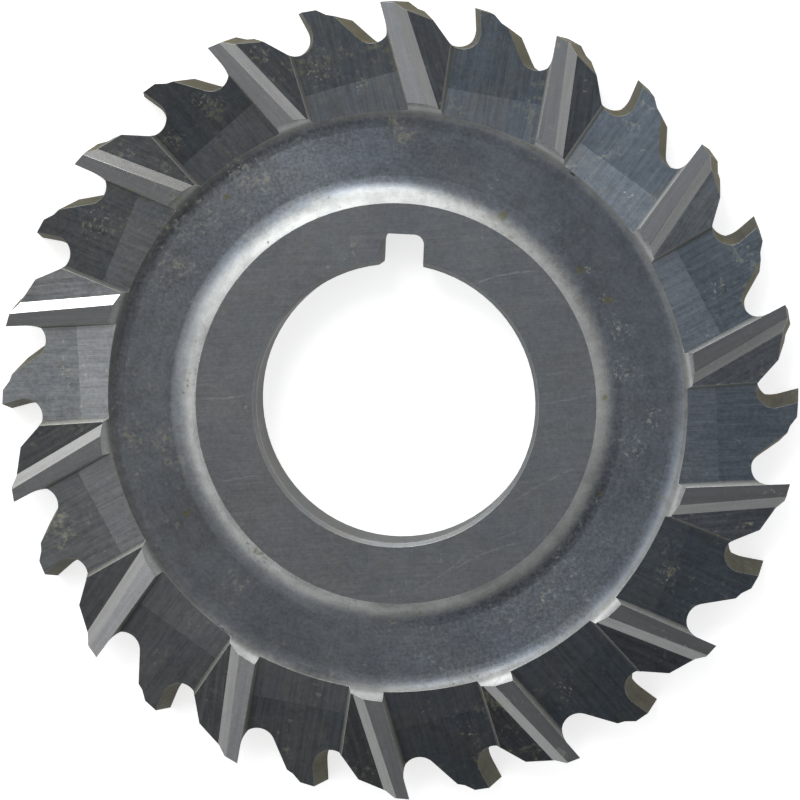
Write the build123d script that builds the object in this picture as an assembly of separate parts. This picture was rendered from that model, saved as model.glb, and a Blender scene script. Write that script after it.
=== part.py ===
from build123d import *
from math import acos, atan, cos, degrees, radians, sin, tan
import os

# Side milling cutter with staggered teeth, ground from one disc of high speed steel.
# Z is the arbor axis, the origin is the middle of the bore, and the keyway is on +Y.
# The tips point counterclockwise seen from +Z. Every other tooth leads on the +Z side
# and cuts there, and the teeth between them are the same turned over, for the -Z side.

# Blank
outside_diameter = 63.5
cutting_width = 4.7625
bore_diameter = 22.225
bore_chamfer = 0.3
hub_diameter = 31.9
hub_setback = 0.1           # hub face below the cutting corners, each side
recess_depth = 1.0          # ring recess below the cutting corners, each side
recess_inner_radius = 18.1  # where the hub fillet runs out on the recess floor
recess_outer_radius = 21.9  # where the shoulder fillet leaves the recess floor
shoulder_width = 2.0        # from there out to where the shoulder reaches the tooth side
grinding_stock = 0.05       # left on the blank, all taken off by the reliefs

# Keyway
keyway_width = 3.48
keyway_depth = 2.4          # from the bore wall at the middle of the keyway
keyway_corner = 0.79

# Teeth, with angles and radii in the section across a flute
tooth_count = 28            # even, so that the two hands alternate
first_tooth_angle = 93.8    # mid-width tip of the first tooth, from +X
helix_angle = 11.0
radial_rake = 14.0
tooth_depth = 3.25
gullet_radius = 1.4
back_angle = 47.0           # rising wall of a gullet, from the radius at its own tip

# Reliefs on the outside of a tooth, angles from the tangent at the tip
rim_land_width = 1.15
rim_land_relief = 4.5
rim_step_width = 0.69
rim_step_relief = 39.0
tooth_back_relief = 22.8

# Side gashes
gash_width = 8.52           # at the cutting corner
gash_spread = 2.7           # the gash narrows inwards by this angle
gash_depth = 1.0            # at the outside diameter
gash_floor_slope = 1.5      # deeper towards the outside
gash_rake_lean = 19.0       # wall under the cutting edge
gash_back_lean = 32.0       # wall behind the tooth ahead
runout_radius = 25.2        # along the gash from the arbor axis
runout_slope = 3.5

# Reliefs on the side of a tooth
side_land_width = 0.97      # at the tip
side_land_spread = 2.4      # the land widens inwards by this angle
side_land_relief = 3.0
side_step_width = 0.82
side_step_relief = 20.0
tooth_side_relief = 4.0

# Room for the cuts
overrun = 1.5               # how far a cut goes on into the air
lead_in = 0.6               # how far ahead of its edge a relief starts
tip_clearance = 0.2         # between the end of a rim relief and the cutting corner behind it

# Worked out from the sizes above
tip_radius = outside_diameter / 2
half_width = cutting_width / 2
shoulder_radius = recess_outer_radius + shoulder_width
tooth_pitch = 360 / tooth_count
pitch_length = tip_radius * sin(radians(tooth_pitch))
corner_lead = half_width * tan(radians(helix_angle))
edge_angle = degrees(atan(tan(radians(radial_rake)) / cos(radians(helix_angle))))

# Distances along a side cutting edge. The side cuts end over the middle of the ring recess,
# where they are above its floor.
corner_distance = tip_radius * cos(radians(edge_angle))
recess_middle = (recess_inner_radius + recess_outer_radius) / 2
reach_in = corner_distance - recess_middle


def side_profile_half():
    # Half section of the blank above the mid-width plane, in the XZ plane.
    bore_radius = bore_diameter / 2
    hub_radius = hub_diameter / 2
    hub_top = half_width - hub_setback
    floor = half_width - recess_depth
    blank_radius = tip_radius + grinding_stock
    blank_top = half_width + grinding_stock
    outline = [
        Line((bore_radius, 0, 0), (bore_radius, 0, hub_top - bore_chamfer)),
        Line((bore_radius, 0, hub_top - bore_chamfer), (bore_radius + bore_chamfer, 0, hub_top)),
        Line((bore_radius + bore_chamfer, 0, hub_top), (hub_radius, 0, hub_top)),
        TangentArc((recess_inner_radius, 0, floor), (hub_radius, 0, hub_top), tangent=(-1, 0, 0)),
        Line((recess_inner_radius, 0, floor), (recess_outer_radius, 0, floor)),
        TangentArc((recess_outer_radius, 0, floor), (shoulder_radius, 0, blank_top), tangent=(1, 0, 0)),
        Line((shoulder_radius, 0, blank_top), (blank_radius, 0, blank_top)),
        Line((blank_radius, 0, blank_top), (blank_radius, 0, 0)),
        Line((blank_radius, 0, 0), (bore_radius, 0, 0)),
    ]
    return make_face(outline)


def blank():
    upper = side_profile_half()
    lower = mirror(upper, about=Plane.XY)
    return revolve(upper, axis=Axis.Z) + revolve(lower, axis=Axis.Z)


def keyway():
    bottom = bore_diameter / 2 + keyway_depth
    height = cutting_width + overrun
    slot = Box(keyway_width, bottom, height, align=(Align.CENTER, Align.MIN, Align.CENTER))
    corners = slot.edges().filter_by(Axis.Z).group_by(Axis.Y)[-1]
    return fillet(corners, keyway_corner)


def along_flute(section):
    # A cut through the whole width, square to its section, that leads on the +Z side.
    slant = radians(helix_angle)
    across = Plane(origin=(0, 0, 0), x_dir=(1, 0, 0), z_dir=(0, sin(slant), cos(slant)))
    reach = (half_width + overrun) / cos(slant) + pitch_length * tan(slant)
    return across * extrude(section, amount=reach, both=True)


def gullet_section():
    # The space ahead of a tooth: straight rake face, round gullet and rising back,
    # with the tip on X and Y towards the next tip ahead.
    rake = radians(radial_rake)
    back = radians(back_angle)
    root_radius = tip_radius - tooth_depth
    tip = Vector(tip_radius, 0)
    rake_out = Vector(cos(rake), sin(rake))
    rake_side = Vector(-sin(rake), cos(rake))
    back_out = Vector(cos(back), sin(back))
    back_side = Vector(sin(back), -cos(back))
    centre_distance = root_radius + gullet_radius
    turn = acos((gullet_radius - tip_radius * sin(rake)) / centre_distance)
    centre_angle = rake + radians(90) - turn
    centre = Vector(cos(centre_angle), sin(centre_angle)) * centre_distance
    rake_foot = centre - rake_side * gullet_radius
    back_foot = centre - back_side * gullet_radius
    bottom = centre - (rake_side + back_side).normalized() * gullet_radius
    rake_end = tip + rake_out * overrun
    back_end = back_foot + back_out * (tooth_depth + overrun) / cos(back)
    return make_face([
        Line(rake_end, rake_foot),
        ThreePointArc(rake_foot, bottom, back_foot),
        Line(back_foot, back_end),
        Line(back_end, rake_end),
    ])


def rim_relief_section():
    # What grinding takes off the outside of a tooth. It ends in the gullet behind the tooth,
    # short of the next tip, whose cutting corner comes nearest on the other side.
    land_drop = tan(radians(rim_land_relief))
    land_end = Vector(tip_radius - rim_land_width * land_drop, -rim_land_width)
    step_end = land_end - Vector(rim_step_width * tan(radians(rim_step_relief)), rim_step_width)
    reach = (pitch_length - 2 * corner_lead - tip_clearance) * cos(radians(helix_angle))
    back_length = reach - rim_land_width - rim_step_width
    back_end = step_end - Vector(back_length * tan(radians(tooth_back_relief)), back_length)
    return make_face(Polyline(
        Vector(tip_radius + lead_in * land_drop, lead_in),
        land_end,
        step_end,
        back_end,
        Vector(tip_radius + overrun, back_end.Y),
        Vector(tip_radius + overrun, lead_in),
        close=True,
    ))


def side_frame():
    # On the +Z side of a tooth: X outwards along its cutting edge, Y ahead of it, Z axial,
    # with the cutting corner on the origin.
    edge = radians(edge_angle)
    return Plane(
        origin=(tip_radius, corner_lead, half_width),
        x_dir=(cos(edge), sin(edge), 0),
        z_dir=(0, 0, 1),
    )


def along_edge(points, turned=0.0, behind=0.0):
    # Sweeps a section along the cutting edge. The points are ahead of and above a line that
    # is level with the edge, some way behind it, and turned so that its inner end trails.
    section = make_face(Polyline(*[(-reach_in, y, z) for y, z in points], close=True))
    cut = extrude(section, amount=reach_in + overrun, dir=(1, 0, 0))
    return Pos(0, -behind, 0) * Rot(0, 0, turned) * cut


def gash():
    # A slot along the cutting edge, from there to a back wall that is turned a little. Its
    # floor drops outwards and flattens at the inner end, where the wheel ran out.
    rake_lean = tan(radians(gash_rake_lean))
    back_lean = tan(radians(gash_back_lean))
    deep = 2 * gash_depth       # well below the floor, which is cut to its own shape
    slot = along_edge([
        (deep * rake_lean, -deep),
        (gash_width, -deep),
        (gash_width + overrun * back_lean, overrun),
        (-overrun * rake_lean, overrun),
    ])
    back_wall = along_edge([
        (-deep * back_lean, -deep),
        (overrun * back_lean, overrun),
        (-gash_width - overrun, overrun),
        (-gash_width - overrun, -deep),
    ], turned=gash_spread, behind=-gash_width)
    runout = runout_radius - corner_distance
    rim = tip_radius - corner_distance
    runout_depth = gash_depth - (rim - runout) * tan(radians(gash_floor_slope))
    inner_depth = runout_depth - (runout + reach_in) * tan(radians(runout_slope))
    outer_depth = gash_depth + (overrun - rim) * tan(radians(gash_floor_slope))
    side = make_face(Polyline(
        (-reach_in, 0, -inner_depth),
        (runout, 0, -runout_depth),
        (overrun, 0, -outer_depth),
        (overrun, 0, overrun),
        (-reach_in, 0, overrun),
        close=True,
    ))
    floor = extrude(side, amount=gash_width + overrun, dir=(0, 1, 0))
    return slot & back_wall & floor


def side_reliefs():
    # The land behind a side cutting edge, and the steeper step and tooth side behind the land.
    # They end over the gash behind the tooth, which belongs to the next tooth of its hand.
    reach = 2 * pitch_length - gash_width
    land_slope = tan(radians(side_land_relief))
    step_slope = tan(radians(side_step_relief))
    land = along_edge([
        (lead_in, lead_in * land_slope),
        (-reach, -reach * land_slope),
        (-reach, overrun),
        (lead_in, overrun),
    ])
    land_end = -side_land_width * land_slope
    step_end = land_end - side_step_width * step_slope
    step = along_edge([
        (lead_in, land_end + lead_in * step_slope),
        (-side_step_width, step_end),
        (-reach, step_end - (reach - side_step_width) * tan(radians(tooth_side_relief))),
        (-reach, overrun),
        (lead_in, overrun),
    ], turned=side_land_spread, behind=side_land_width)
    return [land, step]


def tooth_cuts():
    # Everything that is cut for one tooth that leads on the +Z side, in the frame of its tip.
    frame = side_frame()
    cuts = [along_flute(gullet_section()), along_flute(rim_relief_section())]
    cuts += [frame * cut for cut in [gash(), *side_reliefs()]]
    return cuts


def cutter():
    upper_cuts = tooth_cuts()
    lower_cuts = [mirror(cut, about=Plane.XY) for cut in upper_cuts]
    cuts = [keyway()]
    for number in range(tooth_count):
        turn = Rot(0, 0, first_tooth_angle - number * tooth_pitch)
        hand = upper_cuts if number % 2 == 0 else lower_cuts
        cuts += [turn * cut for cut in hand]
    return blank() - cuts


os.makedirs("parts", exist_ok=True)
export_step(cutter(), "parts/cutter.step")
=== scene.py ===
import math

import bmesh
import bpy
from mathutils import Matrix, Vector, noise


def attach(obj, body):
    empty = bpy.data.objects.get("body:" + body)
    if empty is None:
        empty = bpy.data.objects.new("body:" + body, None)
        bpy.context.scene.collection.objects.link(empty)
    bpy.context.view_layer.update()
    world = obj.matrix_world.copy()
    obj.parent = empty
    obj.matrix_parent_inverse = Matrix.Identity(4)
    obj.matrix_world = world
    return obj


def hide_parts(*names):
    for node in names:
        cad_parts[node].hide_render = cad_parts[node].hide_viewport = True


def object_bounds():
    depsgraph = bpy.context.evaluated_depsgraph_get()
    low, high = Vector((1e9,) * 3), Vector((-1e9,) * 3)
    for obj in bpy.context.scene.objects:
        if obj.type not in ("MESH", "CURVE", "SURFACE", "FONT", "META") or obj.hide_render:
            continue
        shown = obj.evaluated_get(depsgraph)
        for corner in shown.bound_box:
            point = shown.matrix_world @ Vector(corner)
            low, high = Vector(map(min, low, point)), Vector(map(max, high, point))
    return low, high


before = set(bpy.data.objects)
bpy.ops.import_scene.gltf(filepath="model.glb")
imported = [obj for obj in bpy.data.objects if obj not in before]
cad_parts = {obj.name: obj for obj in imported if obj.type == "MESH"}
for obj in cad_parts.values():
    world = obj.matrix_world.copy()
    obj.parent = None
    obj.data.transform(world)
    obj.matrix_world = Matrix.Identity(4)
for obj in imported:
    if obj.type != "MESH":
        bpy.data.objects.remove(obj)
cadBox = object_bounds()
print("frame loaded")

mm = 0.001


def onDome(azimuth, zenith, distance):
    # Degrees round the axis and degrees down from straight up
    a, z = math.radians(azimuth), math.radians(zenith)
    return Vector((math.sin(z) * math.cos(a), math.sin(z) * math.sin(a), math.cos(z))) * distance


# The cutter

cutterLook = {
    "mergeWithin": 0.001,    # mm
    "flattenWithin": 0.3,    # degrees
    "creaseFrom": 1.0,       # degrees between the normals of two faces
    "edgeSoftness": 0.022,   # mm, how far each edge is worn back
    "edgeSegments": 2,
    "softenFrom": 9.0,       # degrees, creases flatter than this stay crisp
    "levelWithin": 1e-4,     # sine of the slope under which a face counts as level
    "hubGrinding": (0.993, 0.12, 0),   # the way the hub faces were ground
    "lineShift": 37.0,       # mm, how far the lines of one facet can lie from those of the next
    "lineSeed": 60.0,
    "teeth": 28,
    "firstTooth": 93.8,      # azimuth of the first tip, the others follow clockwise
    "gashAhead": 6.0,        # degrees from a tip to the middle of its gash
    "landBehind": 7.0,       # and back to the middle of its land
    "toneSpread": 0.35,      # how much the grinding of one tooth differs from the next
    "stepSpread": 0.3,       # share of that on the steps
    "toneSeed": 3.7,
    "toothSeed": 7.13,
    "gashSeed": 40.0,
    "tonesAndShades": {               # how bright each tooth's facets are: partly their own tone, partly painted light and shade of how the light falls on each
        "gash": {1: -0.36, 3: -0.25, 5: 0.5, 7: 0.0, 9: -0.13, 11: -0.45, 13: -0.4,
                 15: -0.28, 17: -0.1, 19: -0.25, 21: 0.08, 23: 0.8, 25: -0.5, 27: -0.42},
        "wall": {1: -0.4, 3: -0.25, 5: 0.25, 7: -0.1, 9: -0.15, 11: -0.55, 13: -0.55,
                 15: -0.5, 17: -0.6, 19: -0.8, 21: -0.55, 23: -0.15, 25: -0.15, 27: -0.1},
        "land": {1: 0.24, 3: 0.09, 5: 0.22, 7: -0.17, 9: -0.55, 11: -0.38, 13: -0.36,
                 15: -0.24, 17: 0.15, 19: 0.52, 21: -0.52, 23: -0.46, 25: -0.39, 27: -0.21},
        "step": {1: 0.0, 3: 0.24, 5: 0.18, 7: 0.1, 9: -0.17, 11: -0.07, 13: -0.04,
                 15: -0.13, 17: -0.32, 19: -0.5, 21: -0.24, 25: -0.51, 27: 0.1},
        "side": {1: -0.22, 3: 0.05, 5: 1.15, 7: 0.55, 9: -0.1, 11: -0.45, 13: -0.5,
                 15: -0.38, 17: -0.17, 19: -0.45, 21: -0.37, 23: 0.75, 25: -0.25, 27: -0.2},
    },
    "toneOf": {              # which of those tones and painted shades a surface takes
        "gashFloor": "gash", "gashRunout": "gash", "gashWall": "wall",
        "sideLand": "land", "sideStep": "step", "toothSide": "side",
    },
}

# Limits that tell the surfaces apart: radii in mm, slopes in degrees from flat
surfaceLimits = {
    "hubRadius": 16.0,
    "turnedRadius": 24.0,
    "hubFaceSlope": 1.0,
    "gashFloorSlope": 2.25,
    "sideLandSlope": 3.25,
    "gashRunoutSlope": 3.75,
    "toothSideSlope": 10.0,
    "sideStepSlope": 30.0,
    "backWallSlope": 65.0,
    "gashWallSlope": 75.0,
    "boreSlope": 60.0,
    "rimOutwards": 0.65,     # how far outwards a steep face has to look to be on the rim
}

surfaceNames = [
    "hubFace", "boreChamfer", "boreWall", "turnedRing", "gashFloor", "gashRunout",
    "gashWall", "sideLand", "sideStep", "toothSide", "rimRelief", "fluteWall", "wornEdge",
]


def keepCadNormals(mesh):
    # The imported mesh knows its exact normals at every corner, so they travel with the copy.
    values = [0.0] * (3 * len(mesh.loops))
    mesh.corner_normals.foreach_get("vector", values)
    layer = mesh.attributes.new("cadNormal", "FLOAT_VECTOR", "CORNER")
    layer.data.foreach_set("vector", values)


def useCadNormals(mesh):
    kept = [0.0] * (3 * len(mesh.loops))
    mesh.attributes["cadNormal"].data.foreach_get("vector", kept)
    mesh.normals_split_custom_set([kept[i:i + 3] for i in range(0, len(kept), 3)])
    mesh.attributes.remove(mesh.attributes["cadNormal"])


def isCrease(edge, cadNormal):
    if len(edge.link_loops) != 2:
        return False
    one, other = edge.link_loops
    pairs = ((one, other.link_loop_next), (one.link_loop_next, other))
    creaseFrom = math.radians(cutterLook["creaseFrom"])
    return any(a[cadNormal].angle(b[cadNormal], 0) > creaseFrom for a, b in pairs)


def slopeOf(face):
    return math.degrees(math.acos(min(1, abs(face.normal.z))))


def surfaceOf(face):
    limits = surfaceLimits
    reach = max(v.co.xy.length for v in face.verts) / mm
    slope = slopeOf(face)
    if reach < limits["hubRadius"]:
        if slope < limits["hubFaceSlope"]:
            return "hubFace"
        return "boreChamfer" if slope < limits["boreSlope"] else "boreWall"
    if reach < limits["turnedRadius"]:
        return "turnedRing"
    if slope < limits["gashFloorSlope"]:
        return "gashFloor"
    if slope < limits["sideLandSlope"]:
        return "sideLand"
    if slope < limits["gashRunoutSlope"]:
        return "gashRunout"
    if slope < limits["toothSideSlope"]:
        return "toothSide"
    if slope < limits["sideStepSlope"]:
        return "sideStep"
    if slope < limits["gashWallSlope"]:
        return "gashWall"
    outwards = face.calc_center_median().xy.normalized().dot(face.normal.xy.normalized())
    return "rimRelief" if outwards > limits["rimOutwards"] else "fluteWall"


def sortSurfaces(bm):
    surface = bm.faces.layers.int.new("surface")
    for face in bm.faces:
        face[surface] = surfaceNames.index(surfaceOf(face))
    return surface


def grindingDirection(face, name):
    # The way the wheel or the turning tool travelled over this face.
    level = Vector((0, 0, 1)).cross(face.normal)
    if name == "hubFace":
        return Vector(cutterLook["hubGrinding"])
    if level.length < cutterLook["levelWithin"]:
        return face.calc_center_median().cross(Vector((0, 0, 1))).normalized()
    level.normalize()
    if name in ("gashFloor", "gashRunout", "fluteWall", "boreWall"):
        return level.cross(face.normal).normalized()
    return level


def paintGrinding(bm, surface):
    # One UV map in mm: U runs along the grinding lines and V across them.
    grinding = bm.loops.layers.uv.new("grinding")
    for face in bm.faces:
        along = grindingDirection(face, surfaceNames[face[surface]])
        across = face.normal.cross(along)
        shift = cutterLook["lineShift"] * noise.noise(face.normal * cutterLook["lineSeed"])
        for loop in face.loops:
            place = loop.vert.co / mm
            loop[grinding].uv = (place.dot(along) + shift, place.dot(across) + shift)


def toneOf(face, name):
    # Every gash and land was ground by itself, so its tone differs at random from the next one's; the table
    # adds painted light and shade for each tooth.
    look = cutterLook
    kind = look["toneOf"].get(name)
    if kind is None:
        return 0.0
    if kind == "wall" and slopeOf(face) < surfaceLimits["backWallSlope"]:
        kind = "gash"
    centre = face.calc_center_median()
    inGash = kind in ("gash", "wall")
    pitch = 360 / look["teeth"]
    behind = look["firstTooth"] - math.degrees(math.atan2(centre.y, centre.x))
    behind += look["gashAhead"] if inGash else -look["landBehind"]
    hand = 0 if centre.z > 0 else 1       # the teeth of the lower side stand between the others
    number = (2 * round((behind / pitch - hand) / 2) + hand) % look["teeth"] + 1
    seed = Vector((number * look["toothSeed"], look["toneSeed"], look["gashSeed"] if inGash else 0.0))
    spread = look["toneSpread"] * (look["stepSpread"] if kind == "step" else 1)
    return spread * noise.noise(seed) + look["tonesAndShades"][kind].get(number, 0.0)


def paintTonesAndShades(bm, surface):
    toneAndShade = bm.faces.layers.float.new("toneAndShade")
    for face in bm.faces:
        face[toneAndShade] = toneOf(face, surfaceNames[face[surface]])
        face.material_index = face[surface]
        face.smooth = True


def wornLook(face, worn, surface):
    # Between two ground facets a worn edge looks like them, elsewhere it is bare metal.
    beside = [surfaceNames[f[surface]] for e in face.edges for f in e.link_faces if f not in worn]
    for name in ("sideLand", "sideStep", "rimRelief", "fluteWall"):
        if name in beside:
            return name
    return "wornEdge"


def wearEdges(bm, surface, cadNormal):
    softenFrom = math.radians(cutterLook["softenFrom"])
    creases = [e for e in bm.edges if isCrease(e, cadNormal)]
    creases = [e for e in creases if e.is_convex and e.calc_face_angle(0) > softenFrom]
    made = bmesh.ops.bevel(
        bm, geom=creases, affect="EDGES", offset_type="OFFSET",
        offset=cutterLook["edgeSoftness"] * mm, segments=cutterLook["edgeSegments"],
        profile=0.5, clamp_overlap=False, material=-1,
    )
    worn = set(made["faces"])
    for face in worn:
        face[surface] = surfaceNames.index(wornLook(face, worn, surface))
    return worn


def blendNormals(worn, cadNormal):
    # A worn edge takes the normals of the surfaces beside it, so the surfaces stay flat.
    for vert in {v for f in worn for v in f.verts}:
        beside = [l[cadNormal] for l in vert.link_loops if l.face not in worn]
        total = sum(beside, Vector()) if beside else vert.normal
        for loop in vert.link_loops:
            if loop.face in worn:
                loop[cadNormal] = total.normalized()


def stayInBox(bm):
    # The soft edges stay within the faces that were ground last.
    top = cadBox[1].z
    for vert in bm.verts:
        vert.co.z = max(-top, min(top, vert.co.z))


def makeCutter():
    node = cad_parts["cutter"]
    mesh = node.data.copy()
    mesh.name = "millingCutter"
    mesh.materials.clear()
    for name in surfaceNames:
        mesh.materials.append(makeSteel(name, steelLooks[name]))
    keepCadNormals(mesh)
    bm = bmesh.new()
    bm.from_mesh(mesh)
    bmesh.ops.remove_doubles(bm, verts=bm.verts, dist=cutterLook["mergeWithin"] * mm)
    flat = math.radians(cutterLook["flattenWithin"])
    bmesh.ops.dissolve_limit(bm, angle_limit=flat, verts=bm.verts, edges=bm.edges)
    cadNormal = bm.loops.layers.float_vector["cadNormal"]
    surface = sortSurfaces(bm)
    worn = wearEdges(bm, surface, cadNormal)
    paintGrinding(bm, surface)
    blendNormals(worn, cadNormal)
    paintTonesAndShades(bm, surface)
    stayInBox(bm)
    bm.to_mesh(mesh)
    bm.free()
    useCadNormals(mesh)

    cutter = bpy.data.objects.new("millingCutter", mesh)
    bpy.context.scene.collection.objects.link(cutter)
    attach(cutter, "root")
    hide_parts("cutter")
    print("cutter made,", len(mesh.polygons), "faces")


# Shader helpers

def newGroup(name, inputs, outputs):
    group = bpy.data.node_groups.new(name, "ShaderNodeTree")
    for label, kind, value in inputs:
        socket = group.interface.new_socket(name=label, in_out="INPUT", socket_type=kind)
        if value is not None:
            socket.default_value = value
    for label, kind in outputs:
        group.interface.new_socket(name=label, in_out="OUTPUT", socket_type=kind)
    return group, group.nodes.new("NodeGroupInput"), group.nodes.new("NodeGroupOutput")


def addNode(tree, kind, **values):
    node = tree.nodes.new(kind)
    for key, value in values.items():
        setattr(node, key, value)
    return node


def mathNode(tree, operation, a, b=None, c=None, clamp=False):
    node = addNode(tree, "ShaderNodeMath", operation=operation, use_clamp=clamp)
    for socket, value in zip(node.inputs, (a, b, c)):
        if value is None:
            continue
        if isinstance(value, (int, float)):
            socket.default_value = value
        else:
            tree.links.new(value, socket)
    return node.outputs[0]


def vectorNode(tree, operation, one, other=None):
    # A number for a length, a distance or a dot product, and a vector for the rest.
    node = addNode(tree, "ShaderNodeVectorMath", operation=operation)
    tree.links.new(one, node.inputs[0])
    if other is not None:
        node.inputs[1].default_value = other
    return node.outputs["Value" if operation in ("LENGTH", "DISTANCE", "DOT_PRODUCT") else "Vector"]


def separated(tree, vector):
    node = addNode(tree, "ShaderNodeSeparateXYZ")
    tree.links.new(vector, node.inputs[0])
    return node.outputs


def mapRange(tree, value, low, high, toLow=0.0, toHigh=1.0, smooth=True):
    node = addNode(tree, "ShaderNodeMapRange", interpolation_type="SMOOTHSTEP" if smooth else "LINEAR")
    tree.links.new(value, node.inputs["Value"])
    for label, number in zip(("From Min", "From Max", "To Min", "To Max"), (low, high, toLow, toHigh)):
        node.inputs[label].default_value = number
    return node.outputs["Result"]


def stretched(tree, vector, scale):
    node = addNode(tree, "ShaderNodeMapping")
    node.inputs["Scale"].default_value = scale
    tree.links.new(vector, node.inputs["Vector"])
    return node.outputs["Vector"]


def noiseOf(tree, vector, scale, detail, rough):
    node = addNode(tree, "ShaderNodeTexNoise")
    node.inputs["Scale"].default_value = scale
    node.inputs["Detail"].default_value = detail
    node.inputs["Roughness"].default_value = rough
    tree.links.new(vector, node.inputs["Vector"])
    return node.outputs["Fac"]


def mixed(tree, one, other, factor, blend="MIX"):
    # Two colours, each a socket or a fixed one
    node = addNode(tree, "ShaderNodeMix", data_type="RGBA", blend_type=blend)
    for label, colour in (("A", one), ("B", other)):
        if isinstance(colour, tuple):
            node.inputs[label].default_value = colour
        else:
            tree.links.new(colour, node.inputs[label])
    tree.links.new(factor, node.inputs["Factor"])
    return node.outputs["Result"]


def brightened(tree, colour, light):
    node = addNode(tree, "ShaderNodeVectorMath", operation="SCALE")
    tree.links.new(colour, node.inputs[0])
    tree.links.new(light, node.inputs["Scale"])
    return node.outputs["Vector"]


# Shared finishes. A noise is its scale, detail and roughness, and shown is where it starts and is full.

grindLook = {
    "Fine": dict(stretch=(0.35, 14, 0.35), noise=(1, 3, 0.6), shown=(0.3, 0.7)),
    "Broad": dict(stretch=(0.12, 2.6, 0.12), noise=(1, 2, 0.5), shown=(0.33, 0.67)),
}


def makeGrindLines():
    # Fine and broad lines that a grinding wheel leaves, along U of the grinding map.
    group, start, end = newGroup(
        "grindLines",
        [("Vector", "NodeSocketVector", None)],
        [("Fine", "NodeSocketFloat"), ("Broad", "NodeSocketFloat")],
    )
    for label, look in grindLook.items():
        level = noiseOf(group, stretched(group, start.outputs["Vector"], look["stretch"]), *look["noise"])
        group.links.new(mapRange(group, level, *look["shown"]), end.inputs[label])
    return group


mottleLook = {
    "clouds": {
        "Small": (3600, 3, 0.7),
        "Middle": (1100, 3, 0.6),
        "Large": (190, 3, 0.55),
        "Tint": (330, 4, 0.65),
    },
    "shown": (0.3, 0.7),
    "tintSide": (7.7, 2.1, 0),     # towards the bluer side of the cutter, and how fast it changes, per m
}


def makeMottle():
    # Cloudiness at three sizes, and a tint in patches that is stronger on one side of the cutter.
    group, start, end = newGroup(
        "mottle",
        [("Vector", "NodeSocketVector", None)],
        [(label, "NodeSocketFloat") for label in mottleLook["clouds"]],
    )
    for label, cloudNoise in mottleLook["clouds"].items():
        cloud = noiseOf(group, start.outputs["Vector"], *cloudNoise)
        if label == "Tint":
            side = vectorNode(group, "DOT_PRODUCT", start.outputs["Vector"], mottleLook["tintSide"])
            cloud = mathNode(group, "ADD", cloud, side)
        group.links.new(mapRange(group, cloud, *mottleLook["shown"]), end.inputs[label])
    return group


fleckLook = {
    "grain": (2300, 4, 0.6),
    "cluster": (230, 4, 0.7),
    "clusterPull": 1.1,          # how much the clusters count beside the grain
    "amountPull": 0.16,
    "oilPull": 0.07,
    "shown": (1.21, 1.45),
    "crumbs": (3300, 2, 0.6),
    "crumbsShown": (0.57, 0.66),
    "dust": (1700, 5, 0.75),
    "dustShown": (0.5, 0.7),
    "dustPatches": (260, 3, 0.6),
    "dustPatchesShown": (0.48, 0.68),
}


def makeFlecks():
    # Dried oil in soft ragged flecks and, where it is thick, crumbs. Beside it pale grainy dust.
    group, start, end = newGroup(
        "flecks",
        [("Vector", "NodeSocketVector", None), ("Amount", "NodeSocketFloat", 0.5),
         ("Oil", "NodeSocketFloat", 0.0)],
        [("Mask", "NodeSocketFloat"), ("Crumbs", "NodeSocketFloat"), ("Dust", "NodeSocketFloat")],
    )
    look = fleckLook
    place = start.outputs["Vector"]
    grain = noiseOf(group, place, *look["grain"])
    cluster = noiseOf(group, place, *look["cluster"])
    level = mathNode(group, "MULTIPLY_ADD", cluster, look["clusterPull"], grain)
    level = mathNode(group, "MULTIPLY_ADD", start.outputs["Amount"], look["amountPull"], level)
    level = mathNode(group, "MULTIPLY_ADD", start.outputs["Oil"], look["oilPull"], level)
    group.links.new(mapRange(group, level, *look["shown"]), end.inputs["Mask"])
    crumbs = mapRange(group, noiseOf(group, place, *look["crumbs"]), *look["crumbsShown"])
    group.links.new(mathNode(group, "MULTIPLY", crumbs, start.outputs["Oil"]), end.inputs["Crumbs"])
    dust = mapRange(group, noiseOf(group, place, *look["dust"]), *look["dustShown"])
    there = mapRange(group, noiseOf(group, place, *look["dustPatches"]), *look["dustPatchesShown"])
    group.links.new(mathNode(group, "MULTIPLY", dust, there), end.inputs["Dust"])
    return group


# Places where oil dried: middle and radius in mm, and the share of the radius where it is thickest
oilPlaces = [
    ((-24.5, 13.0), 2.0),
    ((-16.0, 23.0), 2.0),
    ((-18.5, 20.0), 1.2),
    ((-12.0, 27.0), 1.3),
    ((-7.5, 26.0), 1.8),
    ((-4.0, 25.0), 1.0),
    ((25.0, 10.5), 1.0),
    ((17.5, 17.5), 0.9),
    ((22.0, -12.5), 1.1),
    ((14.5, -22.0), 1.3),
    ((7.0, -26.0), 1.1),
    ((14.5, 11.5), 0.8),
    ((16.0, 9.0), 1.1),
    ((17.5, 6.8), 1.4),
    ((18.0, 3.5), 1.6),
    ((20.5, 0.0), 1.2),
    ((19.0, -2.5), 1.4),
    ((12.5, -15.0), 1.0),
    ((-21.5, 2.0), 1.0),
    ((-13.5, 18.0), 1.3),
]
oilThick = 0.3


def makeOil():
    # 1 in the middle of each of those places and 0 from its rim on.
    group, start, end = newGroup(
        "oil",
        [("Vector", "NodeSocketVector", None)],
        [("Mask", "NodeSocketFloat")],
    )
    flat = vectorNode(group, "MULTIPLY", start.outputs["Vector"], (1 / mm, 1 / mm, 0))
    total = 0.0
    for (x, y), radius in oilPlaces:
        away = vectorNode(group, "DISTANCE", flat, (x, y, 0))
        total = mathNode(group, "MAXIMUM", mapRange(group, away, radius, oilThick * radius), total)
    group.links.new(total, end.inputs["Mask"])
    return group


spotLook = {
    "rim": (1.7, 3, 0.6),
    "ragged": 1.6,           # how far the rim wanders, as a share of the radius
    "shown": (1.0, 0.4),
}


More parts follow.
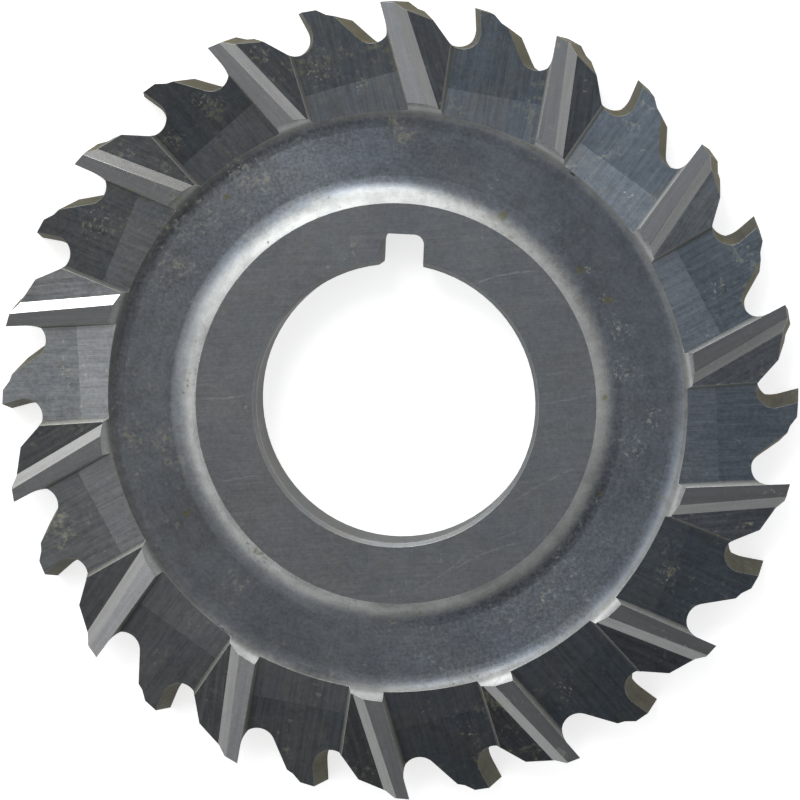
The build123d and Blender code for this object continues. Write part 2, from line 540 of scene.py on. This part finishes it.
def makeSpot():
    # One ragged spot of radius 1 about the origin.
    group, start, end = newGroup(
        "spot",
        [("Vector", "NodeSocketVector", None)],
        [("Mask", "NodeSocketFloat")],
    )
    reach = vectorNode(group, "LENGTH", start.outputs["Vector"])
    rim = noiseOf(group, start.outputs["Vector"], *spotLook["rim"])
    ragged = spotLook["ragged"]
    edge = mathNode(group, "MULTIPLY_ADD", rim, ragged, mathNode(group, "SUBTRACT", reach, ragged / 2))
    group.links.new(mapRange(group, edge, *spotLook["shown"]), end.inputs["Mask"])
    return group


scratchLook = {
    "line": (1.0, 0.3),
    "ends": (1.0, 0.6),
    "stretch": (5, 0.4, 0),
    "breaks": (1, 2, 0.5),
    "breaksShown": (0.35, 0.55),
}


def makeScratch():
    # One scratch along X from -1 to 1, as wide as Y from -1 to 1. Bend lets it curve.
    group, start, end = newGroup(
        "scratch",
        [("Vector", "NodeSocketVector", None), ("Bend", "NodeSocketFloat", 0.0),
         ("Strength", "NodeSocketFloat", 1.0)],
        [("Mask", "NodeSocketFloat")],
    )
    apart = separated(group, start.outputs["Vector"])
    x = apart["X"]
    bow = mathNode(group, "MULTIPLY", mathNode(group, "MULTIPLY", x, x), start.outputs["Bend"])
    off = mathNode(group, "ABSOLUTE", mathNode(group, "SUBTRACT", apart["Y"], bow))
    line = mapRange(group, off, *scratchLook["line"])
    ends = mapRange(group, mathNode(group, "ABSOLUTE", x), *scratchLook["ends"])
    breaks = stretched(group, start.outputs["Vector"], scratchLook["stretch"])
    there = mapRange(group, noiseOf(group, breaks, *scratchLook["breaks"]), *scratchLook["breaksShown"])
    mask = mathNode(group, "MULTIPLY", mathNode(group, "MULTIPLY", line, ends), there)
    group.links.new(mathNode(group, "MULTIPLY", mask, start.outputs["Strength"]), end.inputs["Mask"])
    return group


finishes = {
    "lines": makeGrindLines(),
    "mottle": makeMottle(),
    "flecks": makeFlecks(),
    "oil": makeOil(),
    "spot": makeSpot(),
    "scratch": makeScratch(),
}
print("finishes made")


def useFinish(tree, key, vector):
    node = addNode(tree, "ShaderNodeGroup", node_tree=finishes[key])
    tree.links.new(vector, node.inputs["Vector"])
    return node


def placed(tree, place, key, middle, angle, size):
    # A shared finish moved to one place on the piece, turned and sized in mm there.
    local = addNode(tree, "ShaderNodeMapping", vector_type="TEXTURE")
    local.inputs["Location"].default_value = (middle[0] * mm, middle[1] * mm, 0)
    local.inputs["Rotation"].default_value = (0, 0, math.radians(angle))
    local.inputs["Scale"].default_value = (size[0] * mm, size[1] * mm, 1)
    tree.links.new(place, local.inputs["Vector"])
    return useFinish(tree, key, local.outputs["Vector"])


# Steel, one material for each way a surface was finished

plainSteel = {
    "metal": 1.0,
    "grain": 0.0,            # how far the grinding lines stretch the highlights
    "lineTurn": 0.25,        # at 0.25 they are stretched across the lines
    "lines": 0.1,            # how much brightness the fine lines, the broad lines and the clouds change
    "broad": 0.1,
    "cloud": 0.08,
    "flecks": 0.3,           # how many flecks, from -1 to 1
    "oily": 0.0,             # how much of the dried oil lies on it
    "stain": (0.27, 0.25, 0.14),
    "cool": 0.3,             # how blue the tinted patches are
    "bump": 0.1,
    "toned": 0.0,            # how much the tone and the painted light and shade of each tooth show
    "turned": False,         # whether the lines run round the axis
    "edgeTint": 1.0,         # how bright it gets where it is seen from low down
}


def steel(colour, rough, **changes):
    return {**plainSteel, "colour": colour, "rough": rough, **changes}


steelLooks = {
    "hubFace": steel((0.316, 0.325, 0.334), 0.3, grain=0.4, lines=0.13, broad=0.06, cloud=0.1,
                     flecks=-0.6, cool=0.25, bump=0.04),
    "boreChamfer": steel((0.21, 0.21, 0.205), 0.42, flecks=-1.0, turned=True),
    "boreWall": steel((0.21, 0.21, 0.2), 0.45, flecks=0.0, turned=True, edgeTint=0.45),
    "turnedRing": steel((0.25, 0.265, 0.285), 0.33, grain=0.7, lines=0.05, broad=0.05, cloud=0.19,
                        flecks=0.25, bump=0.06, turned=True, lineTurn=0.19, oily=0.7),
    "gashFloor": steel((0.22, 0.23, 0.235), 0.33, grain=0.6, lines=0.24, broad=0.2, cloud=0.14,
                       flecks=0.25, cool=0.7, toned=1.0, oily=1.0),
    "gashRunout": steel((0.285, 0.295, 0.3), 0.34, grain=0.6, lines=0.22, broad=0.18, cloud=0.12,
                        flecks=0.25, cool=0.6, toned=1.0, oily=1.0),
    "gashWall": steel((0.265, 0.263, 0.243), 0.5, metal=0.4, flecks=0.4, cool=0.1,
                      stain=(0.24, 0.2, 0.1), toned=0.7),
    "sideLand": steel((0.52, 0.525, 0.53), 0.24, grain=0.3, cloud=0.05, flecks=-0.1, cool=0.15,
                      bump=0.01, toned=0.8),
    "sideStep": steel((0.56, 0.56, 0.545), 0.24, grain=0.2, lines=0.08, cloud=0.04, flecks=-0.2,
                      cool=0.1, bump=0.01, toned=1.0),
    "toothSide": steel((0.17, 0.175, 0.18), 0.32, grain=0.6, lines=0.28, broad=0.28, cloud=0.14,
                       flecks=0.25, cool=0.4, toned=0.8, oily=0.8),
    "rimRelief": steel((0.14, 0.13, 0.09), 0.5, metal=0.8, lines=0.25, cloud=0.14, flecks=0.7,
                       cool=0.0, edgeTint=0.35, stain=(0.24, 0.18, 0.06)),
    "fluteWall": steel((0.135, 0.132, 0.108), 0.5, metal=0.8, lines=0.25, cloud=0.14, flecks=0.7,
                       cool=0.0, edgeTint=0.35, stain=(0.24, 0.18, 0.06)),
    "wornEdge": steel((0.33, 0.33, 0.31), 0.35, flecks=0.1),
}

# What lies on the steel, and how strongly
dirtLook = {
    "coolColour": (0.8, 0.97, 1.2, 1),
    "dustColour": (0.32, 0.33, 0.3, 1),
    "crumbColour": (0.42, 0.41, 0.28, 1),
    "stain": 0.6,
    "dust": 0.25,
    "crumbs": 0.65,
    "rougher": 0.3,
    "lessMetal": 0.35,
    "raised": 0.8,           # beside the height of the fine lines
    "lineDepth": 0.02,       # mm
}

# Painted light on the walls of a gash: a painted highlight along the cutting edge and painted shade in the
# corner: heights in mm, brightness
wallShade = {"corner": (1.45, 0.5), "edge": (2.36, 1.5)}

# Bare metal on the fillets beside the ring, where the blue slate of its floor stops, and painted shade and
# highlight on the shoulder and fillets: radii in mm
ringLook = {
    "filletColour": (0.366, 0.375, 0.366, 1),
    "floorFrom": (16.6, 17.6),
    "floorTo": (23.2, 22.4),
    "rimShadeFrom": (22.7, 23.0),
    "rimShadeTo": (23.35, 23.15),
    "rimShadeDark": 0.25,         # painted shade: how much darker the shoulder is beside the gashes
    "toothRoot": (23.2, 23.5),
    "rootHighlight": 1.25,          # and a painted highlight: how much brighter where it climbs on to the teeth
    "shoulder": (22.3, 22.8),
    "hubFillet": (18.3, 17.7),
    "shades": [                # painted shade and highlight by side: where, azimuth, from and to this far off it, and how dark (below 0: bright)
        ("shoulder", 177.0, 28.0, 65.0, 0.42),
        ("shoulder", 270.0, 12.0, 25.0, 0.5),
        ("hubFillet", 190.0, 52.0, 86.0, -0.4),
        ("hubFillet", 322.0, 15.0, 40.0, 0.2),
    ],
    "spots": [                 # dried oil: middle and radius in mm
        ((7.83, 15.36), 0.5),
        ((16.53, 1.44), 0.3),
        ((14.08, 11.34), 0.4),
        ((16.42, 9.09), 0.45),
        ((-16.43, -9.77), 0.4),
        ((16.51, -6.26), 0.3),
        ((-14.19, 15.71), 0.35),
    ],
    "spotColour": (0.25, 0.235, 0.12, 1),
    "spotStrength": 0.7,
    "turnsScale": 12,          # how soon the turned lines change on the way round the axis
}

hubLook = {
    "scratches": [             # middle (mm), half length, angle from X (degrees), bend and strength
        ((8.25, 10.75), 2.8, 14.5, -3.0, 1.0),
        ((13.57, 1.1), 2.1, 13.8, 1.5, 0.6),
        ((12.62, 3.17), 1.2, 16.4, 0.0, 0.4),
        ((-13.71, -0.24), 2.1, 7.4, 1.0, 0.8),
        ((-12.18, -6.59), 1.6, 13.1, 0.0, 0.7),
        ((7.82, -11.38), 3.4, 25.0, -4.0, 0.7),
        ((4.32, -13.4), 3.1, 37.7, 3.0, 0.5),
        ((12.05, -5.61), 3.3, 31.9, -2.0, 0.5),
        ((10.1, -9.6), 2.6, 27.0, 2.0, 0.4),
    ],
    "scratchWidth": 0.1,
    "scratchShine": 0.45,
}


def roundTheAxis(tree, place):
    # Turned lines: X and Z give the way round, seamless, and Y the distance out in mm.
    flat = vectorNode(tree, "MULTIPLY", place, (1, 1, 0))
    way = separated(tree, vectorNode(tree, "NORMALIZE", flat))
    joined = addNode(tree, "ShaderNodeCombineXYZ")
    tree.links.new(mathNode(tree, "MULTIPLY", way["X"], ringLook["turnsScale"]), joined.inputs["X"])
    tree.links.new(mathNode(tree, "DIVIDE", vectorNode(tree, "LENGTH", flat), mm), joined.inputs["Y"])
    tree.links.new(mathNode(tree, "MULTIPLY", way["Y"], ringLook["turnsScale"]), joined.inputs["Z"])
    return joined.outputs["Vector"]


def wallBrightness(tree, place):
    up = mathNode(tree, "DIVIDE", mathNode(tree, "ABSOLUTE", separated(tree, place)["Z"]), mm)
    low, high = wallShade["corner"], wallShade["edge"]
    return mapRange(tree, up, low[0], high[0], low[1], high[1])


def filletShade(tree, along, out):
    # Painted light and shade: the fillets are painted brighter on some sides of the ring and darker on
    # others, as the light falls.
    shade = 1.0
    for where, azimuth, near, far, depth in ringLook["shades"]:
        x, y, _ = onDome(azimuth, 90, 1 / ringLook["turnsScale"])
        facing = vectorNode(tree, "DOT_PRODUCT", along, (x, 0, y))
        near, far = math.cos(math.radians(near)), math.cos(math.radians(far))
        there = mapRange(tree, out, *ringLook[where])
        mask = mathNode(tree, "MULTIPLY", mapRange(tree, facing, far, near), there)
        shade = mathNode(tree, "MULTIPLY", mathNode(tree, "MULTIPLY_ADD", mask, -depth, 1.0), shade)
    return shade


def between(tree, out, rise, fall):
    return mathNode(tree, "MULTIPLY", mapRange(tree, out, *rise), mapRange(tree, out, *fall))


def ringColour(tree, along, tinted):
    out = separated(tree, along)["Y"]
    floor = between(tree, out, ringLook["floorFrom"], ringLook["floorTo"])
    rimShade = between(tree, out, ringLook["rimShadeFrom"], ringLook["rimShadeTo"])
    # Painted shade on the outer rim of the shoulder beside the gashes
    light = mathNode(tree, "MULTIPLY_ADD", rimShade, -ringLook["rimShadeDark"], 1.0)
    # A painted highlight where the shoulder climbs on to the teeth
    root = mapRange(tree, out, *ringLook["toothRoot"], 1, ringLook["rootHighlight"])
    light = mathNode(tree, "MULTIPLY", light, root)
    # Painted light and shade on the fillets and shoulder, by side
    light = mathNode(tree, "MULTIPLY", light, filletShade(tree, along, out))
    return brightened(tree, mixed(tree, ringLook["filletColour"], tinted, floor), light)


def ringSpotMask(tree, place):
    total = 0.0
    for middle, radius in ringLook["spots"]:
        spot = placed(tree, place, "spot", middle, 0, (radius, radius))
        total = mathNode(tree, "MAXIMUM", spot.outputs["Mask"], total)
    return total


def hubScratchMask(tree, place):
    total = 0.0
    for middle, half, angle, bend, strength in hubLook["scratches"]:
        scratch = placed(tree, place, "scratch", middle, angle, (half, hubLook["scratchWidth"]))
        scratch.inputs["Bend"].default_value = bend
        scratch.inputs["Strength"].default_value = strength
        total = mathNode(tree, "MAXIMUM", scratch.outputs["Mask"], total)
    return total


def steelBrightness(tree, name, look, place, lines, mottle):
    # 1 plus what the lines, the cloudiness and the facet's own tone with its painted light and shade add or
    # take
    light = mathNode(tree, "MULTIPLY_ADD", lines.outputs["Fine"], look["lines"], 1 - look["lines"] / 2)
    changes = [(lines.outputs["Broad"], look["broad"])]
    changes += [(mottle.outputs[size], look["cloud"]) for size in ("Small", "Middle", "Large")]
    for level, amount in changes:
        light = mathNode(tree, "ADD", light, mathNode(tree, "MULTIPLY_ADD", level, amount, -amount / 2))
    # The tone of each tooth's facets, with their painted light and shade
    toneAndShade = addNode(tree, "ShaderNodeAttribute", attribute_type="GEOMETRY", attribute_name="toneAndShade")
    toned = mathNode(tree, "MULTIPLY_ADD", toneAndShade.outputs["Fac"], look["toned"], 1)
    light = mathNode(tree, "MULTIPLY", light, toned)
    if name == "hubFace":
        light = mathNode(tree, "MULTIPLY_ADD", hubScratchMask(tree, place), hubLook["scratchShine"], light)
    # Painted shade towards the corner of a gash wall and a painted highlight along its cutting edge
    if name == "gashWall":
        light = mathNode(tree, "MULTIPLY", light, wallBrightness(tree, place))
    return light


def steelColour(tree, name, look, place, along, mottle, flecks, light):
    cool = mathNode(tree, "MULTIPLY", mottle.outputs["Tint"], look["cool"])
    colour = mixed(tree, (*look["colour"], 1), dirtLook["coolColour"], cool, blend="MULTIPLY")
    if name == "turnedRing":
        colour = ringColour(tree, along, colour)
    stain = mathNode(tree, "MULTIPLY", flecks.outputs["Mask"], dirtLook["stain"])
    colour = mixed(tree, colour, (*look["stain"], 1), stain)
    dust = mathNode(tree, "MULTIPLY", flecks.outputs["Dust"], dirtLook["dust"] * (1 + look["flecks"]))
    colour = mixed(tree, colour, dirtLook["dustColour"], dust)
    crumbs = mathNode(tree, "MULTIPLY", flecks.outputs["Crumbs"], dirtLook["crumbs"])
    colour = mixed(tree, colour, dirtLook["crumbColour"], crumbs)
    colour = brightened(tree, colour, light)
    if name == "turnedRing":
        spots = mathNode(tree, "MULTIPLY", ringSpotMask(tree, place), ringLook["spotStrength"])
        colour = mixed(tree, colour, ringLook["spotColour"], spots)
    return colour


def makeSteel(name, look):
    material = bpy.data.materials.new(name)
    material.use_nodes = True
    tree = material.node_tree
    tree.nodes.clear()
    shader = addNode(tree, "ShaderNodeBsdfPrincipled")
    out = addNode(tree, "ShaderNodeOutputMaterial")
    tree.links.new(shader.outputs["BSDF"], out.inputs["Surface"])
    place = addNode(tree, "ShaderNodeTexCoord").outputs["Object"]
    if look["turned"]:
        along = roundTheAxis(tree, place)
    else:
        along = addNode(tree, "ShaderNodeUVMap", uv_map="grinding").outputs["UV"]

    lines = useFinish(tree, "lines", along)
    mottle = useFinish(tree, "mottle", place)
    flecks = useFinish(tree, "flecks", place)
    flecks.inputs["Amount"].default_value = look["flecks"]
    if look["oily"]:
        oil = mathNode(tree, "MULTIPLY", useFinish(tree, "oil", place).outputs["Mask"], look["oily"])
        tree.links.new(oil, flecks.inputs["Oil"])
    dirt = mathNode(tree, "MAXIMUM", flecks.outputs["Mask"], flecks.outputs["Crumbs"])

    light = steelBrightness(tree, name, look, place, lines, mottle)
    colour = steelColour(tree, name, look, place, along, mottle, flecks, light)
    tree.links.new(colour, shader.inputs["Base Color"])
    shader.inputs["Specular Tint"].default_value = (look["edgeTint"],) * 3 + (1,)
    cloud = look["cloud"] / 2
    rough = mathNode(tree, "MULTIPLY_ADD", mottle.outputs["Small"], cloud, look["rough"] - cloud / 2)
    rough = mathNode(tree, "MULTIPLY_ADD", dirt, dirtLook["rougher"], rough, clamp=True)
    tree.links.new(rough, shader.inputs["Roughness"])
    metal = mathNode(tree, "MULTIPLY_ADD", dirt, -dirtLook["lessMetal"], look["metal"], clamp=True)
    tree.links.new(metal, shader.inputs["Metallic"])
    if look["grain"]:
        shader.inputs["Anisotropic"].default_value = look["grain"]
        shader.inputs["Anisotropic Rotation"].default_value = look["lineTurn"]
        way = "RADIAL" if look["turned"] else "UV_MAP"
        tangent = addNode(tree, "ShaderNodeTangent", direction_type=way, axis="Z")
        tangent.uv_map = "grinding"
        tree.links.new(tangent.outputs["Tangent"], shader.inputs["Tangent"])

    bump = addNode(tree, "ShaderNodeBump")
    bump.inputs["Strength"].default_value = look["bump"]
    bump.inputs["Distance"].default_value = dirtLook["lineDepth"] * mm
    height = mathNode(tree, "MULTIPLY_ADD", dirt, dirtLook["raised"], lines.outputs["Fine"])
    tree.links.new(height, bump.inputs["Height"])
    tree.links.new(bump.outputs["Normal"], shader.inputs["Normal"])
    return material


makeCutter()


# Floor, lamps and camera

stageLook = {
    "floorSize": 4.0,          # m
    "floorColour": (0.86, 0.86, 0.86, 1),
    "floorRough": 0.9,
    "floorGlow": 0.66,         # how far the floor is lifted to a plain white in the picture
}


def makeFloor():
    bm = bmesh.new()
    bmesh.ops.create_grid(bm, x_segments=1, y_segments=1, size=stageLook["floorSize"])
    bmesh.ops.translate(bm, verts=bm.verts, vec=(0, 0, cadBox[0].z))
    mesh = bpy.data.meshes.new("floor")
    bm.to_mesh(mesh)
    bm.free()
    floor = bpy.data.objects.new("floor", mesh)
    bpy.context.scene.collection.objects.link(floor)
    material = bpy.data.materials.new("paleFloor")
    material.use_nodes = True
    tree = material.node_tree
    shader = tree.nodes["Principled BSDF"]
    shader.inputs["Base Color"].default_value = stageLook["floorColour"]
    shader.inputs["Roughness"].default_value = stageLook["floorRough"]
    shader.inputs["Specular IOR Level"].default_value = 0.0
    shader.inputs["Emission Color"].default_value = (1, 1, 1, 1)
    rays = addNode(tree, "ShaderNodeLightPath")
    seen = mathNode(tree, "MAXIMUM", rays.outputs["Is Camera Ray"], rays.outputs["Is Glossy Ray"])
    seen = mathNode(tree, "MAXIMUM", seen, rays.outputs["Is Transmission Ray"])
    glow = mathNode(tree, "MULTIPLY", seen, stageLook["floorGlow"])
    tree.links.new(glow, shader.inputs["Emission Strength"])
    mesh.materials.append(material)


# Soft square lamps that face the cutter: where they stand (degrees, m), how big (m) and how bright
lamps = {
    "keyLamp": dict(azimuth=111, zenith=36, distance=0.8, size=0.21, radiance=6.2),
}


def makeLamp(name, look):
    light = bpy.data.lights.new(name, "AREA")
    light.shape = "SQUARE"
    light.size = look["size"]
    light.energy = look["radiance"] * math.pi * look["size"] ** 2   # W for that much light per area and angle
    lamp = bpy.data.objects.new(name, light)
    bpy.context.scene.collection.objects.link(lamp)
    place = onDome(look["azimuth"], look["zenith"], look["distance"])
    lamp.matrix_world = Matrix.Translation(place) @ place.to_track_quat("Z", "Y").to_matrix().to_4x4()


# The room: pale walls, darker overhead where the camera looks in, lighter on the key lamp's side
roomLook = {
    "colour": (0.98, 0.99, 1, 1),
    "wall": 1.1,
    "overhead": 0.36,
    "overheadFrom": 28.0,    # degrees from straight up
    "overheadTo": 82.0,
    "lightSide": 112.0,      # azimuth
    "lightSideGain": 0.34,
    "patches": [             # azimuth, zenith, from and to this far off, and how dark (below 0: bright)
        (296.0, 28.0, 8.0, 22.0, 0.85),
        (340.0, 18.0, 3.0, 14.0, 0.5),
        (230.0, 16.0, 2.0, 10.0, 0.45),
        (173.0, 33.0, 3.0, 14.0, -1.4),
        (165.0, 46.0, 5.0, 22.0, -0.6),
        (128.0, 46.0, 4.0, 15.0, -0.3),
        (110.0, 68.0, 14.0, 46.0, -1.2),
    ],
}


def makeRoom():
    world = bpy.data.worlds.new("room")
    bpy.context.scene.world = world
    world.use_nodes = True
    tree = world.node_tree
    direction = addNode(tree, "ShaderNodeTexCoord").outputs["Generated"]
    up = vectorNode(tree, "DOT_PRODUCT", direction, (0, 0, 1))
    narrow, wide = (math.cos(math.radians(roomLook[k])) for k in ("overheadFrom", "overheadTo"))
    light = mapRange(tree, up, wide, narrow, roomLook["wall"], roomLook["overhead"])
    side = vectorNode(tree, "DOT_PRODUCT", direction, onDome(roomLook["lightSide"], 90, 1))
    gain = roomLook["lightSideGain"]
    light = mathNode(tree, "MULTIPLY", light, mapRange(tree, side, -1, 1, 1 - gain, 1 + gain, smooth=False))
    for azimuth, zenith, near, far, depth in roomLook["patches"]:
        patch = vectorNode(tree, "DOT_PRODUCT", direction, onDome(azimuth, zenith, 1))
        near, far = math.cos(math.radians(near)), math.cos(math.radians(far))
        light = mathNode(tree, "MULTIPLY", light, mapRange(tree, patch, far, near, 1, 1 - depth))
    background = tree.nodes["Background"]
    tree.links.new(light, background.inputs["Strength"])
    background.inputs["Color"].default_value = roomLook["colour"]


# The camera stands above the cutter, a little off its axis
cameraLook = {
    "azimuth": 48.45,
    "offAxis": 8.628,
    "distance": 0.32414,
    "upwards": 92.5,        # azimuth that is up in the picture
    "lens": 183.1,
    "sensor": 36,
    "shift": (0.0027, 0.00175),
    "seesFrom": 0.01,       # m
}


def makeCamera():
    data = bpy.data.cameras.new("camera")
    data.lens = cameraLook["lens"]
    data.sensor_width = cameraLook["sensor"]
    data.shift_x, data.shift_y = cameraLook["shift"]
    data.clip_start = cameraLook["seesFrom"]
    camera = bpy.data.objects.new("camera", data)
    bpy.context.scene.collection.objects.link(camera)
    back = onDome(cameraLook["azimuth"], cameraLook["offAxis"], 1)
    right = onDome(cameraLook["upwards"], 90, 1).cross(back).normalized()
    up = back.cross(right)
    turned = Matrix((right, up, back)).transposed().to_4x4()
    camera.matrix_world = Matrix.Translation(back * cameraLook["distance"]) @ turned
    bpy.context.scene.camera = camera


makeFloor()
for lampName, lampLook in lamps.items():
    makeLamp(lampName, lampLook)
makeRoom()
makeCamera()
bpy.context.scene.view_settings.view_transform = "Standard"
print("stage set")
